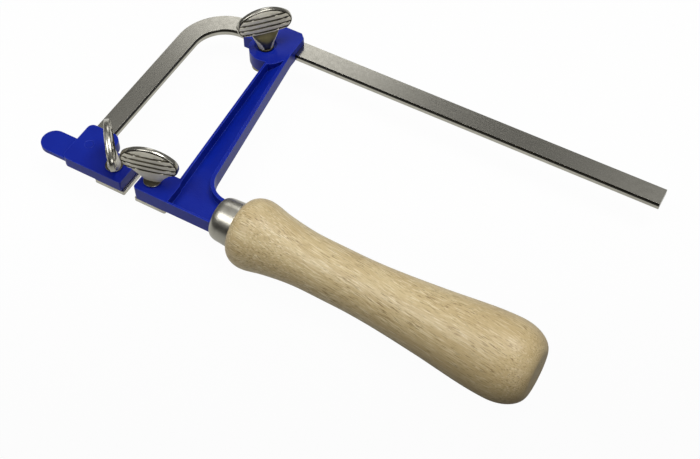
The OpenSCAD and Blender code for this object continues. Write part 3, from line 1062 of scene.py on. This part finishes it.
@dataclass
class ThumbScrew:
    """A spade-headed clamping screw: oval grooved grip, fanned neck, collar and thread.

    The grip and the foot (collar and thread) are modelled once and copied for each screw.
    """

    grip_w: float = 19.0
    grip_h: float = 12.8
    grip_end_r: float = 4.5
    grip_faces: int = 128
    grip_t: float = 2.9
    rim_t: float = 1.5
    rim_r: float = 0.25
    rim_edge: float = 0.004
    line_at: float = 0.42
    line_w: float = 0.32
    line_depth: float = 0.14
    dome_l: float = 4.5
    insets: tuple[float, ...] = (0.01, 0.05, 0.08, 0.12, 0.16, 0.16, 0.7, 1.1)
    cut_every: float = 1.7
    cut_side: int = 5
    groove_at: tuple[float, ...] = (3.5, 1.5, -0.6, -2.7)
    groove_w: float = 0.62
    groove_depth: float = 0.4
    groove_fade: float = 0.6
    groove_cuts: tuple[float, ...] = (-1, -0.8, 0, 0.8, 1)
    # Faces nearer a groove's middle than this share of its width get painted shade.
    groove_shade: float = 0.45
    sole: float = 3.4
    neck_sink: float = 0.5
    neck_faces: int = 72
    neck_levels: int = 16
    neck_flat: float = 1.25
    neck_fan: float = 1.15
    collar_r: float = 2.9
    # Points of the collar's side, as the distance in from its radius and the height.
    collar_line: tuple[Point, ...] = ((0.45, 0.0), (0.2, 0.1), (0.06, 0.26), (0.0, 0.42),
                                      (0.03, 0.58), (0.12, 0.69), (0.25, 0.75))
    collar_faces: int = 72
    collar_top: float = 0.8
    shank_r: float = 2.0
    shank_l: float = 10.0
    pitch: float = 0.7
    # Points of one turn of the thread, as shares of its depth and of its pitch.
    thread_line: tuple[Point, ...] = ((0.0, 0.0), (0.0, 0.1), (1.0, 0.49), (1.0, 0.61), (0.0, 1.0))
    thread_depth: float = 0.61
    thread_steps: int = 28
    thread_spare: float = 3.0
    thread_top: float = 0.4
    thread_near: float = 0.0005
    tip: float = 0.6

    def long_arc(self) -> Point:
        """Gives how far the end arcs and the long arcs are centred from the oval's middle."""
        off, half = self.grip_w / 2 - self.grip_end_r, self.grip_h / 2
        return off, (off ** 2 - (half - self.grip_end_r) ** 2) / (2 * (half - self.grip_end_r))

    def oval(self, angle: float) -> Point:
        """Gives the point of the oval whose outward direction has an angle.

        Args:
            angle: the angle in radians.

        Returns:
            The point in millimetres.
        """
        off, drop = self.long_arc()
        x, y = math.cos(angle), math.sin(angle)
        if abs(y) * off < abs(x) * drop:
            return math.copysign(off, x) + self.grip_end_r * x, self.grip_end_r * y
        r = self.grip_h / 2 + drop
        return r * x, r * y - math.copysign(drop, y)

    def inside(self, u: float, w: float) -> float:
        """Gives how far a point of the grip's face is inside the oval.

        Args:
            u: the point's place along the oval in millimetres.
            w: the point's place across the oval in millimetres.

        Returns:
            The distance from the oval in millimetres.
        """
        off, drop = self.long_arc()
        u, w = abs(u), abs(w)
        if w * off < (u - off) * drop:
            return self.grip_end_r - math.hypot(u - off, w)
        return self.grip_h / 2 + drop - math.hypot(u, w + drop)

    def height(self, u: float, w: float) -> float:
        """Gives the half thickness of the grip at a place on its face.

        Args:
            u: the place along the oval in millimetres.
            w: the place across the oval in millimetres.

        Returns:
            The half thickness in millimetres.
        """
        deep = self.inside(u, w)
        if deep < self.rim_edge:
            return 0.0
        swell = 1 - (1 - min(deep / self.dome_l, 1.0)) ** 2
        top = (self.rim_t + (self.grip_t - self.rim_t) * swell) / 2
        k = 1 - min(deep / self.rim_r, 1.0)
        top -= self.rim_r * (1 - math.sqrt(1 - k * k))
        top -= self.line_depth * max(1 - abs(deep - self.line_at) / (self.line_w / 2), 0.0)
        fade = min(max((deep - self.line_at) / self.groove_fade, 0.0), 1.0)
        for middle in self.groove_at:
            side = abs(w - middle) / (self.groove_w / 2)
            if side < 1:
                top -= self.groove_depth * math.sqrt(1 - side * side) * fade
        return top

    def build_grip(self) -> bpy.types.Object:
        """Models the domed oval grip about its own middle, standing in the XZ plane.

        Returns:
            The grip.
        """
        bpy.ops.object.select_all(action="DESELECT")
        bpy.ops.mesh.primitive_circle_add(
            vertices=self.grip_faces, radius=MM, fill_type="NGON")
        grip = bpy.context.active_object
        grip.name = "grip_pattern"
        for vertex in grip.data.vertices:
            u, w = self.oval(math.atan2(vertex.co.y, vertex.co.x))
            vertex.co = (u * MM, w * MM, 0)
        edit(grip, *(lambda width=width: bpy.ops.mesh.inset(thickness=width * MM)
                     for width in self.insets))
        for i in range(-self.cut_side, self.cut_side + 1):
            cut(grip, (i * self.cut_every, 0, 0), (1, 0, 0))
        for middle in self.groove_at:
            for part in self.groove_cuts:
                cut(grip, (0, middle + self.groove_w / 2 * part, 0), (0, 1, 0))
        cut(grip, (0, -self.sole, 0), (0, 1, 0), clear_inner=True)
        for vertex in grip.data.vertices:
            vertex.co.z = self.height(vertex.co.x / MM, vertex.co.y / MM) * MM
        select_only(grip)
        other = grip.modifiers.new("other_face", "MIRROR")
        other.use_axis = (False, False, True)
        other.merge_threshold = MERGE * MM
        bpy.ops.object.modifier_apply(modifier=other.name)
        grip.data.transform(Matrix.Rotation(math.pi / 2, 4, "X"))
        edit(grip, lambda: bpy.ops.mesh.fill_holes(sides=0), select_all, face_outwards)
        smooth(grip, 40)
        return grip

    def build_neck(self, place: ScrewPlace) -> bpy.types.Object:
        """Models the neck that fans out from a round foot to a flat blade under the grip.

        Args:
            place: the screw that it belongs to.

        Returns:
            The neck, standing over the origin.
        """
        low, high = place.neck_low, place.rise - self.sole + self.neck_sink
        bpy.ops.object.select_all(action="DESELECT")
        bpy.ops.mesh.primitive_cylinder_add(
            vertices=self.neck_faces, radius=MM, depth=(high - low) * MM,
            location=(0, 0, (low + high) / 2 * MM))
        neck = bpy.context.active_object
        neck.name = "neck"
        bpy.ops.object.transform_apply(location=True)
        for i in range(1, self.neck_levels):
            cut(neck, (0, 0, low + (high - low) * i / self.neck_levels), (0, 0, 1))
        for vertex in neck.data.vertices:
            share = max((vertex.co.z / MM - low) / (high - low), 0.0)
            angle = math.atan2(vertex.co.y, vertex.co.x)
            flat = ease(min(share ** place.curl * self.neck_flat, 1.0))
            # A power of 2 gives an ellipse, and one of 5 is almost a rectangle.
            power = 2 / (2 + 3 * flat)
            wide = place.foot_w + (place.neck_w - place.foot_w) * share ** self.neck_fan
            thick = place.foot_t + (place.neck_t - place.foot_t) * flat
            x, y = math.cos(angle), math.sin(angle)
            vertex.co.x = wide * math.copysign(abs(x) ** power, x) * MM
            vertex.co.y = thick * math.copysign(abs(y) ** power, y) * MM
        smooth(neck, 50)
        return neck

    def build_foot(self) -> bpy.types.Object:
        """Models the collar and, below it, the chamfered thread, with the seat at the origin.

        Returns:
            The foot.
        """
        side = [(self.collar_r - x, z) for x, z in self.collar_line]
        profile = [(0.0, 0.0), *side, (0.0, side[-1][1])]
        points = [Vector((x * MM, 0, z * MM)) for x, z in profile]
        collar = outline_object("collar_pattern", points, closed=False)
        spin_round(collar, (0, 0, 0), (0, 0, 1), self.collar_faces)
        smooth(collar)
        thread = self.build_thread()
        select_only(collar, thread)
        bpy.ops.object.join()
        return collar

    def build_thread(self) -> bpy.types.Object:
        """Winds the shank's thread and trims it to length with a chamfered tip.

        Returns:
            The threaded shank.
        """
        depth = self.thread_depth * self.pitch
        # It starts half a step lower than a turn and a half below the tip, so that the cuts
        # fall between its vertices.
        base = -self.shank_l - (1.5 + 0.5 / self.thread_steps) * self.pitch
        points = [Vector(((self.shank_r - depth * (1 - out)) * MM, 0, (base + up * self.pitch) * MM))
                  for out, up in self.thread_line]
        thread = outline_object("thread_pattern", points, closed=False)
        select_only(thread)
        wind = thread.modifiers.new("wind", "SCREW")
        wind.axis = "Z"
        wind.steps = wind.render_steps = self.thread_steps
        wind.screw_offset = self.pitch * MM
        wind.iterations = round((self.shank_l + self.thread_spare) / self.pitch) + 1
        wind.use_merge_vertices = True
        wind.merge_threshold = MERGE * MM
        bpy.ops.object.modifier_apply(modifier=wind.name)
        for height, sign in ((-self.shank_l, -1), (self.thread_top, 1)):
            edit(thread, merge_points)
            cut(thread, (0, 0, height), (0, 0, sign), use_fill=True, clear_outer=True,
                threshold=self.thread_near * MM)
        for vertex in thread.data.vertices:
            most = (self.shank_r - self.tip + self.shank_l) * MM + vertex.co.z
            reach = vertex.co.to_2d().length
            if reach > most:
                vertex.co.x *= most / reach
                vertex.co.y *= most / reach
        edit(thread, face_outwards)
        smooth(thread)
        return thread

    def dress_grip(self, grip: bpy.types.Object, *finishes: bpy.types.Material) -> None:
        """Gives the grip its bright rim, its duller face, and painted shade in its grooves and in
        the line round its rim.

        Args:
            grip: the grip, about its own middle.
            finishes: those of the rim, the face, and the painted shade of the grooves and line.
        """
        dress(grip, *finishes)
        for polygon in grip.data.polygons:
            u, w = polygon.center.x / MM, polygon.center.z / MM
            deep = self.inside(u, w)
            # Grooves and the line round the rim get painted shade; the rest of the face is duller.
            if deep > self.line_at - self.line_w / 2:
                groove = min(abs(w - middle) for middle in self.groove_at)
                in_groove = groove < self.groove_shade * self.groove_w
                in_line = deep < self.line_at + self.line_w / 2
                polygon.material_index = Coat.THIRD if in_groove or in_line else Coat.SECOND

    def build(self, finish: bpy.types.Material, matte: bpy.types.Material,
              painted_deep_shade: bpy.types.Material, dull: bpy.types.Material,
              places: Sequence[ScrewPlace]) -> None:
        """Models the patterns once and copies them into every screw.

        Args:
            finish: the plated finish.
            matte: the duller finish of the grips' faces.
            painted_deep_shade: the dark finish that paints shade in the grooves and line, on the
                collars' tops, and over the whole foot of a screw whose neck is set back.
            dull: the olive finish that paints shade on a neck that is set back under its grip.
            places: where each screw stands.
        """
        grip, foot = self.build_grip(), self.build_foot()
        self.dress_grip(grip, finish, matte, painted_deep_shade)
        for place in places:
            select_only(grip, foot)
            bpy.ops.object.duplicate()
            parts = list(bpy.context.selected_objects)
            screw = next(p for p in parts if p.name.startswith("grip"))
            base = next(p for p in parts if p.name.startswith("collar"))
            # The foot of a set-back neck is painted in shade all over, and every collar's top gets
            # painted shade.
            dress(base, finish if place.flush else painted_deep_shade, painted_deep_shade)
            for polygon in base.data.polygons:
                if polygon.normal.z > self.collar_top:
                    polygon.material_index = Coat.SECOND
            screw.data.transform(Matrix.Translation((0, 0, place.rise * MM)))
            neck = self.build_neck(place)
            # A set-back neck gets painted shade on its broad faces.
            dress(neck, *((matte, finish) if place.flush else (dull, matte)))
            for polygon in neck.data.polygons:
                if abs(polygon.normal.x) > place.flank:
                    polygon.material_index = Coat.SECOND
            select_only(screw, base, neck)
            bpy.ops.object.join()
            screw.name = screw.data.name = place.name
            screw.data.transform(Matrix.Rotation(math.radians(place.turn), 4, "Z"))
            screw.data.transform(Matrix.Translation([v * MM for v in place.seat]))
            settle(screw, place.body, place.node)
        select_only(grip, foot)
        bpy.ops.object.delete()


@dataclass
class SteelPiece:
    """A small plain steel piece: a jaw plate, the clamp plate, a guide pin or the rivet."""

    node: str
    name: str
    body: Body
    edge: float = 0.15

    def build(self, finish: bpy.types.Material, slot: Slot = Slot.STEEL) -> None:
        """Copies the piece's solid and breaks its edges.

        Args:
            finish: the piece's finish.
            slot: the material slot that it takes its finish from; it is not used.
        """
        piece = node_copy(self.node, self.name)
        round_edges(piece, self.edge, 2)
        dress(piece, finish)
        settle(piece, self.body, self.node)


# The studio


@dataclass(frozen=True)
class Lamp:
    """A round soft lamp: its place from the saw's middle and its size in metres, and its watts."""

    name: str
    place: Place
    size: float
    power: float


@dataclass(frozen=True)
class Glow:
    """A lighter part of the room: its direction, the cosines that it fades over and its level."""

    way: Place
    span: Point
    level: float
    fade: Fade


@dataclass
class Studio:
    """White table, soft lamps, a dim room and the camera."""

    eye: Place = (171.28, -188.12, 314.29)
    azimuth: float = 28.27
    elevation: float = 53.44
    roll: float = 0.82
    lens: float = 65.18
    sensor: float = 36.0
    middle: Place = (50.0, 35.0, 0.0)
    table: float = 4.0
    table_at: Point = (50.0, 30.0)
    table_gap: float = 0.05
    # The sheet goes from its first tone to its second between these distances along sheet_way.
    sheet: Point = (-110.0, 0.0)
    sheet_way: Place = (-0.6, 1.0, 0.0)
    sheet_tones: tuple[str, str] = ("#202020", "#dadad7")
    sheet_roughness: float = 0.9
    sheet_specular: float = 0.1
    glow_share: float = 0.97
    lamps: tuple[Lamp, ...] = (
        Lamp("key_lamp", (-0.42, -0.45, 0.9), 0.6, 4.6),
        Lamp("back_lamp", (-0.63, 1.05, 0.87), 0.5, 1.1),
        Lamp("top_lamp", (0.25, 0.2, 1.2), 0.7, 9.4),
        Lamp("fill_lamp", (0.9, -0.75, 0.45), 0.6, 2.0),
    )
    dark: float = 0.02
    glows: tuple[Glow, ...] = (
        Glow((0.0, 0.55, 0.84), (-0.3, 0.6), 0.15, Fade.EVEN),
        Glow((-0.36, 0.2, 0.91), (0.93, 0.99), 0.6, Fade.SOFT),
        Glow((-0.03, 0.645, 0.764), (0.992, 1.0), 0.5, Fade.SOFT),
    )

    def build_camera(self) -> None:
        """Places the camera at the viewing angle."""
        data = bpy.data.cameras.new("camera")
        data.lens = self.lens
        data.sensor_width = self.sensor
        data.sensor_fit = "HORIZONTAL"
        data.clip_start, data.clip_end = 0.01, 50.0
        camera = bpy.data.objects.new("camera", data)
        bpy.context.scene.collection.objects.link(camera)
        az, el, roll = (math.radians(v) for v in (self.azimuth, self.elevation, self.roll))
        right = Vector((math.cos(az), math.sin(az), 0))
        back = Vector((math.sin(az) * math.cos(el), -math.cos(az) * math.cos(el), math.sin(el)))
        down = (-back).cross(right)
        tilted = right * math.cos(roll) - down * math.sin(roll)
        drop = right * math.sin(roll) + down * math.cos(roll)
        turn = Matrix((tilted, -drop, back)).transposed().to_4x4()
        camera.matrix_world = Matrix.Translation(Vector(self.eye) * MM) @ turn
        bpy.context.scene.camera = camera

    def build_lamps(self) -> None:
        """Hangs the soft lamps, each aimed at the middle of the saw."""
        middle = Vector(self.middle) * MM
        for plan in self.lamps:
            data = bpy.data.lights.new(plan.name, "AREA")
            data.shape = "DISK"
            data.size = plan.size
            data.energy = plan.power
            lamp = bpy.data.objects.new(plan.name, data)
            bpy.context.scene.collection.objects.link(lamp)
            spot = middle + Vector(plan.place)
            lamp.location = spot
            lamp.rotation_euler = (spot - middle).to_track_quat("Z", "Y").to_euler()

    def build_table(self) -> None:
        """Lays a white sheet under the lowest point of the saw, white all over to the camera, with
        painted shade in front of the saw.
        """
        bpy.ops.object.select_all(action="DESELECT")
        bpy.ops.mesh.primitive_plane_add(
            size=self.table, location=(self.table_at[0] * MM, self.table_at[1] * MM,
                                       CAD_BOX[0][2] - self.table_gap * MM))
        table = bpy.context.active_object
        table.name = "table"
        bpy.ops.object.transform_apply(location=True)
        # A matte white sheet. In front of the saw its colour is darkened as painted shade, which
        # shows in reflections and in light that bounces off it.
        material, tree, shader = new_material("white_sheet_on_table")
        place = add_node(tree, "ShaderNodeTexCoord").outputs["Object"]
        side = add_node(tree, "ShaderNodeVectorMath", {
            0: place, 1: self.sheet_way}, operation="DOT_PRODUCT")
        near = add_node(tree, "ShaderNodeMapRange", {
            "Value": side.outputs["Value"], "From Min": self.sheet[0] * MM,
            "From Max": self.sheet[1] * MM})
        tone = add_node(tree, "ShaderNodeMix", {
            0: near.outputs["Result"], 6: linear(self.sheet_tones[0]),
            7: linear(self.sheet_tones[1])}, data_type="RGBA")
        tree.links.new(tone.outputs[2], shader.inputs["Base Color"])
        shader.inputs["Roughness"].default_value = self.sheet_roughness
        shader.inputs["Specular IOR Level"].default_value = self.sheet_specular
        path = add_node(tree, "ShaderNodeLightPath")
        seen = add_node(tree, "ShaderNodeMix", {
            0: path.outputs["Is Camera Ray"], 6: tone.outputs[2], 7: grey(1.0)},
            data_type="RGBA")
        glow = add_node(tree, "ShaderNodeEmission", {"Color": seen.outputs[2], "Strength": 1.0})
        sharp = add_node(tree, "ShaderNodeMath", {
            0: path.outputs["Is Camera Ray"], 1: path.outputs["Is Glossy Ray"]},
            operation="MAXIMUM")
        rays = add_node(tree, "ShaderNodeMath", {
            0: sharp.outputs[0], 1: path.outputs["Is Transmission Ray"]}, operation="MAXIMUM")
        share = add_node(tree, "ShaderNodeMath", {
            0: rays.outputs[0], 1: self.glow_share}, operation="MULTIPLY")
        mixed = add_node(tree, "ShaderNodeMixShader", {
            0: share.outputs[0], 1: shader.outputs["BSDF"], 2: glow.outputs[0]})
        output = next(n for n in tree.nodes if n.type == "OUTPUT_MATERIAL")
        tree.links.new(mixed.outputs[0], output.inputs["Surface"])
        dress(table, material)

    def build_world(self) -> None:
        """Makes the room: dim overhead, darkest low down in front, white to the camera."""
        world = bpy.data.worlds.new("room")
        bpy.context.scene.world = world
        world.use_nodes = True
        tree = world.node_tree
        tree.nodes.clear()
        place = add_node(tree, "ShaderNodeTexCoord").outputs["Generated"]
        level: Any = self.dark
        for glow in self.glows:
            way = add_node(tree, "ShaderNodeVectorMath", {
                0: place, 1: glow.way}, operation="DOT_PRODUCT")
            level = add_node(tree, "ShaderNodeMapRange", {
                "Value": way.outputs["Value"], "From Min": glow.span[0], "From Max": glow.span[1],
                "To Min": level, "To Max": glow.level},
                interpolation_type=glow.fade.value).outputs["Result"]
        room = add_node(tree, "ShaderNodeBackground", {"Color": level, "Strength": 1.0})
        white = add_node(tree, "ShaderNodeBackground", {"Color": grey(1.0), "Strength": 1.0})
        path = add_node(tree, "ShaderNodeLightPath")
        mixed = add_node(tree, "ShaderNodeMixShader", {
            0: path.outputs["Is Camera Ray"], 1: room.outputs[0], 2: white.outputs[0]})
        add_node(tree, "ShaderNodeOutputWorld", {"Surface": mixed.outputs[0]})

    def build(self) -> None:
        """Sets up the whole studio."""
        bpy.context.scene.view_settings.view_transform = "Standard"
        self.build_camera()
        self.build_lamps()
        self.build_table()
        self.build_world()


def main() -> None:
    """Builds the studio and every sub-assembly."""
    logging.basicConfig(level=logging.INFO, format="%(message)s")
    Studio().build()
    line = HandleLine()

    # The enamel is deep blue and glossy, paler blue on rounded edges as a painted highlight, and
    # rough on the sunk panel.
    enamel = Enamel("gloss_enamel_on_casting").build()
    edges = Enamel("gloss_enamel_with_painted_edge_highlight", colour="#2c40b0", deep="#2437a6").build()
    panelled = Enamel("gloss_enamel_on_stippled_panel", stipple=2.5).build()
    # Drawn steel gives the bar a satin mirror with streaks along it. A dark stripe high on its inner
    # edge is painted shade and a painted dark reflection.
    drawn = Nickel("nickel_on_drawn_steel", Lay.ALONG_BAR, bright="#c0bdb2", dull="#b6b3a8",
                   roughness=(0.18, 0.23), depth_mm=0.004, cloud_mm=1.6).build()
    painted_edge_shade = Nickel("steel_with_painted_edge_shade", Lay.ALONG_BAR, bright="#2f2d28", dull="#24221d",
                  roughness=(0.3, 0.4), depth_mm=0.004).build()
    # Tumbled pieces are bright with soft reflections. The turned ferrule is smoother and hazier.
    tumbled = Nickel("nickel_on_tumbled_steel", Lay.TUMBLED, roughness=(0.16, 0.3)).build()
    polished = Nickel("polished_nickel", Lay.TURNED, roughness=(0.28, 0.36)).build()
    # The grips' faces are pale and chalky. Painted shade darkens their grooves and the collars'
    # tops, and paints a neck set back under its grip olive grey.
    matte = Nickel("nickel_on_matte_steel", Lay.TUMBLED, bright="#ece8d8", dull="#d9d4c3",
                   roughness=(0.58, 0.68), metallic=0.25).build()
    painted_deep_shade = Nickel("nickel_with_painted_deep_shade", Lay.TUMBLED, bright="#565145", dull="#3c392f",
                   roughness=(0.5, 0.6)).build()
    dull = Nickel("nickel_with_painted_soft_shade", Lay.TUMBLED, bright="#8d8768", dull="#6f6a4e",
                  roughness=(0.3, 0.4)).build()
    # The wood is straw coloured with short brown pores, and has a low satin gloss.
    wood = Hardwood("varnished_hardwood", line.start, line.droop).build()

    BowBar().build(drawn, painted_edge_shade)
    Casting("front_jaw", "front_jaw_casting", Body.BOW).build(enamel, edges)
    SteelPiece("bar_rivet", "bar_rivet_head", Body.BOW, 0.1).build(enamel, Slot.ENAMEL)
    Yoke("yoke", "yoke_casting", Body.FRAME).build(enamel, edges, panelled)
    for part, body in (("front_jaw", Body.FRONT_PLATE), ("rear_jaw", Body.REAR_PLATE)):
        SteelPiece(part + "_plate", part + "_plate_steel", body).build(tumbled)
    for part, body in (("front", Body.FRONT_PLATE), ("rear", Body.REAR_PLATE),
                       ("clamp", Body.CLAMP)):
        SteelPiece(part + "_guide_pin", part + "_guide_pin_steel", body).build(tumbled)
    # The clamp plate gets painted shade, for the shadow under the boss.
    SteelPiece("clamp_plate", "clamp_plate_steel", Body.CLAMP).build(dull)
    ThumbScrew().build(tumbled, matte, painted_deep_shade, dull, (
        ScrewPlace("front_jaw_screw", "front_jaw_thumb_screw", Body.FRONT_SCREW,
                   (-14.7, 0.0, 4.15), 10.0, -50.0, foot_w=2.8, foot_t=2.2, flank=0.8,
                   flush=True),
        ScrewPlace("rear_jaw_screw", "rear_jaw_thumb_screw", Body.REAR_SCREW,
                   (0.0, 0.0, 5.45), 8.9, 14.0, neck_w=7.4, neck_t=0.9, foot_w=3.0, foot_t=0.7,
                   neck_low=0.7, flank=0.8, flush=True),
        ScrewPlace("lock_screw", "lock_thumb_screw", Body.LOCK,
                   (0.0, 68.0, 4.65), 10.9, 48.0, curl=2.0)))
    handle = Handle(line)
    handle.build_ferrule(polished)
    handle.build_wood(wood)


if __name__ == "__main__":
    main()
